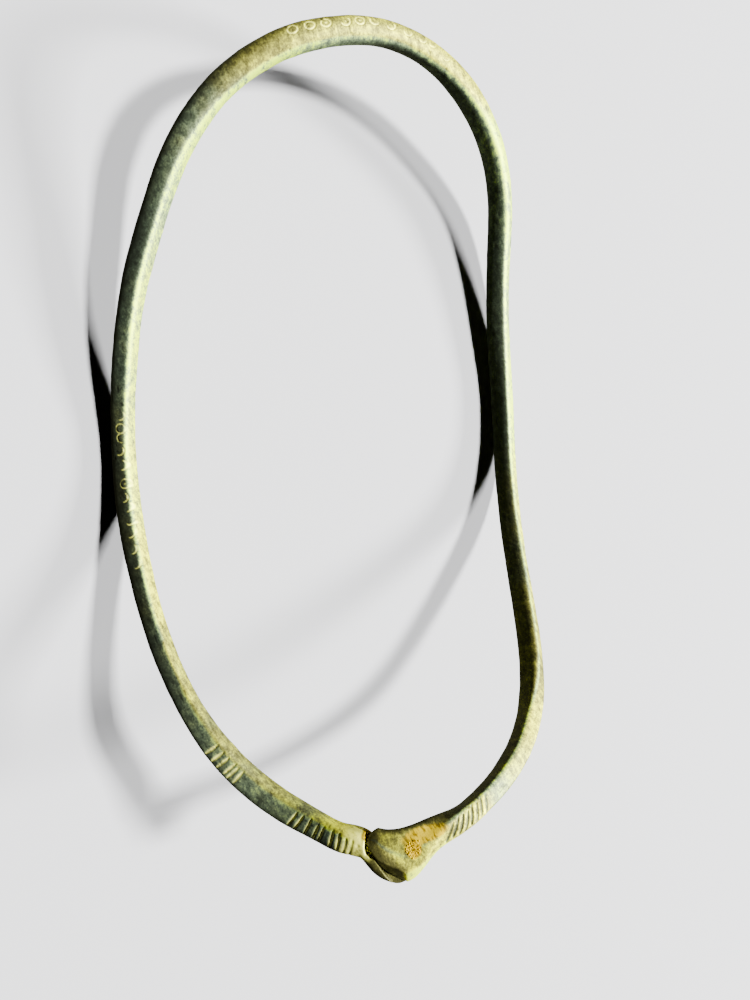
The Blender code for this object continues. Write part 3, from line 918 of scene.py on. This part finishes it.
def paint_skin():
    """The skin's tone with its painted light and shade, its warmth and where it is rubbed, along and
    round the rod.
    """
    run, out = read_values("run"), read_values("out")
    share = run / ROD_LENGTH
    turn = np.degrees(read_values("turn"))
    corner = eased_between(RIDGE_TURN, share)
    inner = past(turn, corner - CORNER_SPREAD / 2, CORNER_SPREAD)
    # Painted light and shade: the face and side tones are paler where the lamps light the rod and
    # darker where it is turned from them.
    face = eased_between(FACE_TONE_AND_PAINTED_LIGHT, share)
    tone = mix(face, eased_between(SIDE_TONE_AND_PAINTED_LIGHT, share), inner)
    tone = mix(tone, UNDER_TONE, past(turn, *UNDERSIDE))
    tone = mix(tone, face, past(turn, *OUTER_SIDE))
    # Painted shade darkens the outer side where it is turned from the lamps.
    outer = 1 - past(turn, *OUTER_SIDE_END) + past(turn, *OUTER_SIDE)
    tone = tone - eased_between(PAINTED_OUTER_SHADE, share) * outer
    ridge = np.exp(-((turn - corner) / RIDGE_SPREAD) ** 2)
    tone = mix(tone, np.maximum(tone, eased_between(RIDGE_TONE, share)), ridge)
    rim, bevel, edge = plate_parts(run, out)
    # The plate's rim is painted in shade, where it rounds down away from the lamps.
    tone = mix(tone, PAINTED_RIM_SHADOW_TONE, rim)
    # The bevel is made pale: partly rubbed, partly painted light.
    tone = mix(tone, BEVEL_TONE, bevel)
    # The plate's inner edge is painted in shade too.
    tone = mix(tone, PAINTED_RIM_SHADOW_TONE, edge)

    on_left = run > RIGHT_ROW_END
    cut = past(read_values("cut"), *CUT_EDGE)
    struck = past(read_values("struck"), *STRUCK_EDGE)
    tone = tone + cut * np.where(on_left, LEFT_CUT_TONE, RIGHT_CUT_TONE) + struck * STRUCK_TONE
    paint("tone", tone)
    rubbed = past(read_values("cut"), *RUBBED_EDGE) * on_left
    # Painted light: the end of the arm beside the plate is painted pale through the rubbed values.
    painted_light_end = past(share, *PAINTED_LIGHT_END) * (1 - past(share, *PAINTED_LIGHT_END_STOP))
    painted_light_end = painted_light_end * (turn < UNDERSIDE[0])
    paint("rubbed", np.maximum(np.maximum(struck * STRUCK_RUBBED, rubbed), painted_light_end))
    warm = mix(eased_between(FACE_WARMTH, share), eased_between(SIDE_WARMTH, share), inner)
    warm = warm * (1 - PALE_COOLING * ridge * (share < COOL_RIDGE_END))
    paint("warm", warm * (1 - PALE_COOLING * bevel) * (1 - CUT_COOLING * cut))


def mixed(tree, share, first, second):
    """A colour between two, by a share. The colours of a Mix node are its sockets 6 and 7."""
    node = add_node(tree, "ShaderNodeMix", data_type="RGBA")
    join(tree, share, node.inputs[0])
    join(tree, first, node.inputs[6])
    join(tree, second, node.inputs[7])
    return node.outputs[2]


def toned(tree, tone, colours):
    """A colour from a row of evenly spaced ones, by tone."""
    colour = colours[0]
    for i, following in enumerate(colours[1:]):
        share = (tone * (len(colours) - 1) - i).math("MAXIMUM", 0).math("MINIMUM", 1)
        colour = mixed(tree, share, colour, following)
    return colour


def mesh_value(tree, name):
    """The value of one of the piece's attributes, in a material."""
    return Flow(add_node(tree, "ShaderNodeAttribute", attribute_name=name).outputs["Fac"])


def streaks_group():
    """Noise drawn out into slanting streaks, as the soil and the bright scratches lie."""
    group, given, result = new_tree(
        "Slanting streaks", {"Vector": ["Place"]}, "Streak", "Float", "ShaderNodeTree")
    place = given["Place"]
    drawn = add_node(group, "ShaderNodeCombineXYZ", {
        "X": place.dot(STREAK_ACROSS) * STREAK_NARROWING,
        "Y": place.dot(STREAK_ALONG) * STREAK_STRETCH, "Z": place.dot((0, 0, 1))})
    drawn = Flow(drawn.outputs["Vector"])
    streak = noise(group, drawn, STREAK_SPAN, detail=3, roughness=0.6, seed=47)
    join(group, streak, result)
    return group


streaks = streaks_group()


def finish_bronze():
    """The skin's colour, by tone with its painted light and shade, and warmth, then rubbed places,
    stains and gloss.
    """
    bronze.use_nodes = True
    tree = bronze.node_tree
    skin = tree.nodes["Principled BSDF"]
    places = Flow(tree.nodes.new("ShaderNodeTexCoord").outputs["Object"])
    clouds = noise(tree, places, CLOUD_SPAN, detail=4, roughness=0.6)
    mottle = noise(tree, places, MOTTLE_SPAN, detail=5, roughness=0.65, seed=13)
    speckle = noise(tree, places, SPECKLE_SPAN, detail=3, roughness=0.6, seed=29)
    streak = use_group(tree, streaks, {"Place": places})
    uneven = (clouds - 0.5) * CLOUD_TONE + (mottle - 0.5) * MOTTLE_TONE
    uneven = uneven + (speckle - 0.5) * SPECKLE_TONE + (streak - 0.5) * STREAK_TONE
    tone = mesh_value(tree, "tone")
    tone = tone + uneven * (tone * UNEVEN_PALE + UNEVEN_DARK) - mesh_value(tree, "pit") * PIT_TONE
    warmth = mesh_value(tree, "warm") + (clouds - 0.5) * WARMTH_PATCHES
    colour = mixed(tree, warmth.eased(*WARMTH_RANGE), toned(tree, tone, COOL_TONES),
                   toned(tree, tone, WARM_TONES))
    # The rubbed values also carry the painted light on the end of the arm beside the plate.
    rubbed = mesh_value(tree, "rubbed") * (mottle + streak).eased(*RUBBED_COVER)
    colour = mixed(tree, rubbed, colour, RUBBED)
    broken = mottle + streak * STAIN_STREAKS - STAIN_BREAKS
    stain = (mesh_value(tree, "stain") * broken).eased(*STAIN_EDGE)
    earthy = (streak + mottle * EARTHY_MOTTLE).eased(*EARTHY_COVER)
    colour = mixed(tree, stain, colour, mixed(tree, earthy, DARK_STAIN, EARTH_STAIN))
    join(tree, colour, skin.inputs["Base Color"])
    join(tree, speckle * SPECKLE_ROUGHNESS + SKIN_ROUGHNESS, skin.inputs["Roughness"])
    join(tree, (1 - stain) * SKIN_METALLIC, skin.inputs["Metallic"])
    join(tree, (1 - stain) * SKIN_SPECULAR, skin.inputs["Specular IOR Level"])
    skin.inputs["Specular Tint"].default_value = SHINE
    bump = add_node(tree, "ShaderNodeBump", {
        "Strength": BUMP_STRENGTH, "Distance": BUMP_DEPTH, "Height": speckle * BUMP_SPECKLE + mottle})
    join(tree, bump.outputs["Normal"], skin.inputs["Normal"])


paint_skin()
finish_bronze()

# The earth left in the clasp
# Dry orange-yellow soil still clings to the hollow of the plate. It is a crust of crumbs, each a
# fraction of a millimetre across, stuck to the bronze.
CRUMB_SIZE = (0.05 * MM, 0.16 * MM)
CRUMB_DENSITY = 40e6
CRUMB_SEED = 5
CRUMB_TURNS = (6.28, 6.28, 6.28)
SOIL_EDGE = (0.35, 0.8)
BREAK_SPAN = 0.25 * MM
BREAK_DEPTH = 0.2 * MM
GRAIN_SPAN = 0.35 * MM
GRAIN_SHARE = 0.5
PALE_GRAINS = (0.62, 0.80)
EARTH_ROUGHNESS = 0.9
EARTH = (0.40, 0.26, 0.0, 1)
DARK_EARTH = (0.085, 0.047, 0.0, 1)

earth = bpy.data.materials.new("dry earth")


def crumbs_tree():
    """Scatters small broken lumps where the skin carries soil."""
    tree, given, result = new_tree("Earth crumbs", {
        "Geometry": ["Rod"], "Float": ["Density", "Smallest", "Largest"], "Int": ["Seed"],
        "Material": ["Finish"]}, "Crumbs")
    where = attribute(tree, "soil").eased(*SOIL_EDGE)
    spread = add_node(tree, "GeometryNodeDistributePointsOnFaces", {
        "Mesh": given["Rod"], "Density": given["Density"] * where, "Seed": given["Seed"]})
    lump = add_node(tree, "GeometryNodeMeshIcoSphere", {"Radius": 1.0, "Subdivisions": 1})
    size = add_node(tree, "FunctionNodeRandomValue", data_type="FLOAT")
    join(tree, given["Smallest"], size.inputs[2])
    join(tree, given["Largest"], size.inputs[3])
    turn = add_node(tree, "FunctionNodeRandomValue", data_type="FLOAT_VECTOR")
    join(tree, CRUMB_TURNS, turn.inputs[1])
    crumbs = add_node(tree, "GeometryNodeInstanceOnPoints", {
        "Points": spread.outputs["Points"], "Instance": lump.outputs["Mesh"],
        "Rotation": turn.outputs[0], "Scale": size.outputs[1]})
    plain = add_node(tree, "GeometryNodeRealizeInstances", {"Geometry": crumbs.outputs[0]})
    places = Flow(tree.nodes.new("GeometryNodeInputPosition").outputs[0])
    normal = Flow(tree.nodes.new("GeometryNodeInputNormal").outputs["Normal"])
    broken = add_node(tree, "GeometryNodeSetPosition", {
        "Geometry": plain.outputs["Geometry"],
        "Offset": normal * ((noise(tree, places, BREAK_SPAN) - 0.5) * BREAK_DEPTH)})
    finished = add_node(tree, "GeometryNodeSetMaterial", {
        "Geometry": broken.outputs["Geometry"], "Material": given["Finish"]})
    join(tree, finished.outputs["Geometry"], result)
    return tree


crumbs = new_piece("earth_crumbs", worked(rod, crumbs_tree(), {
    "Density": CRUMB_DENSITY, "Smallest": CRUMB_SIZE[0], "Largest": CRUMB_SIZE[1],
    "Seed": CRUMB_SEED, "Finish": earth}))
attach(crumbs, "root")


def finish_earth():
    """Dull soil, paler and darker in the same slanting streaks as the stains."""
    earth.use_nodes = True
    tree = earth.node_tree
    places = Flow(tree.nodes.new("ShaderNodeTexCoord").outputs["Object"])
    streak = use_group(tree, streaks, {"Place": places})
    grains = streak + noise(tree, places, GRAIN_SPAN, detail=4, roughness=0.6) * GRAIN_SHARE
    skin = tree.nodes["Principled BSDF"]
    colour = mixed(tree, grains.eased(*PALE_GRAINS), DARK_EARTH, EARTH)
    join(tree, colour, skin.inputs["Base Color"])
    skin.inputs["Roughness"].default_value = EARTH_ROUGHNESS
    skin.inputs["Specular IOR Level"].default_value = 0.0


finish_earth()

# The floor, the lights and the camera
# A plain pale floor, a large lamp high on the right with a lower and broader one beside it, and a
# camera above the loop and a little to its left, aimed down at its middle.
FLOOR_SIZE = 3.0
PAPER_ROUGHNESS = 0.9
FLOOR_COLOUR = (0.27, 0.27, 0.275, 1)
FLOOR_BOUNCE = (0.03, 0.03, 0.03, 1)
LAMP_DISTANCE = 3.0
KEY_TOWARD = (0.755, 0.081, 1.0)
KEY_SIZE = 0.30
KEY_POWER = 680.0
LOW_TOWARD = (1.917, -0.192, 1.0)
LOW_SIZE = 0.50
LOW_POWER = 640.0
SKY = 0.05
CAMERA_PLACE = (-47.252 * MM, -7.737 * MM, 127.549 * MM)
CAMERA_RIGHT = (0.91552, 0.0, 0.40227)
CAMERA_AHEAD = (0.40207, -0.03138, -0.91507)
CAMERA_LENS = 27.36
CAMERA_NEAR = 0.01

floor_mesh = bpy.data.meshes.new("floor")
half = FLOOR_SIZE / 2
floor_mesh.from_pydata([(-half, -half, 0), (half, -half, 0), (half, half, 0), (-half, half, 0)],
                       [], [(0, 1, 2, 3)])
floor = new_piece("floor", floor_mesh)
paper = bpy.data.materials.new("pale paper")
paper.use_nodes = True
seen = paper.node_tree.nodes.new("ShaderNodeLightPath").outputs["Is Camera Ray"]
sheet = paper.node_tree.nodes["Principled BSDF"]
join(paper.node_tree, mixed(paper.node_tree, seen, FLOOR_BOUNCE, FLOOR_COLOUR),
     sheet.inputs["Base Color"])
sheet.inputs["Roughness"].default_value = PAPER_ROUGHNESS
floor_mesh.materials.append(paper)


def add_lamp(name, toward, size, power):
    """A square lamp in a direction from the origin, facing it."""
    data = bpy.data.lights.new(name, "AREA")
    data.size = size
    data.energy = power
    lamp = new_piece(name, data)
    lamp.location = Vector(toward).normalized() * LAMP_DISTANCE
    lamp.rotation_euler = Vector(toward).to_track_quat("Z", "Y").to_euler()


add_lamp("high_lamp", KEY_TOWARD, KEY_SIZE, KEY_POWER)
add_lamp("low_lamp", LOW_TOWARD, LOW_SIZE, LOW_POWER)

world = bpy.data.worlds.new("studio")
world.use_nodes = True
world.node_tree.nodes["Background"].inputs["Strength"].default_value = SKY
bpy.context.scene.world = world

camera_data = bpy.data.cameras.new("camera")
camera_data.lens = CAMERA_LENS
camera_data.clip_start = CAMERA_NEAR
camera = new_piece("camera", camera_data)
right, back = Vector(CAMERA_RIGHT), -Vector(CAMERA_AHEAD)
turned = Matrix((right, back.cross(right), back)).transposed().to_4x4()
camera.matrix_world = Matrix.Translation(CAMERA_PLACE) @ turned
bpy.context.scene.camera = camera
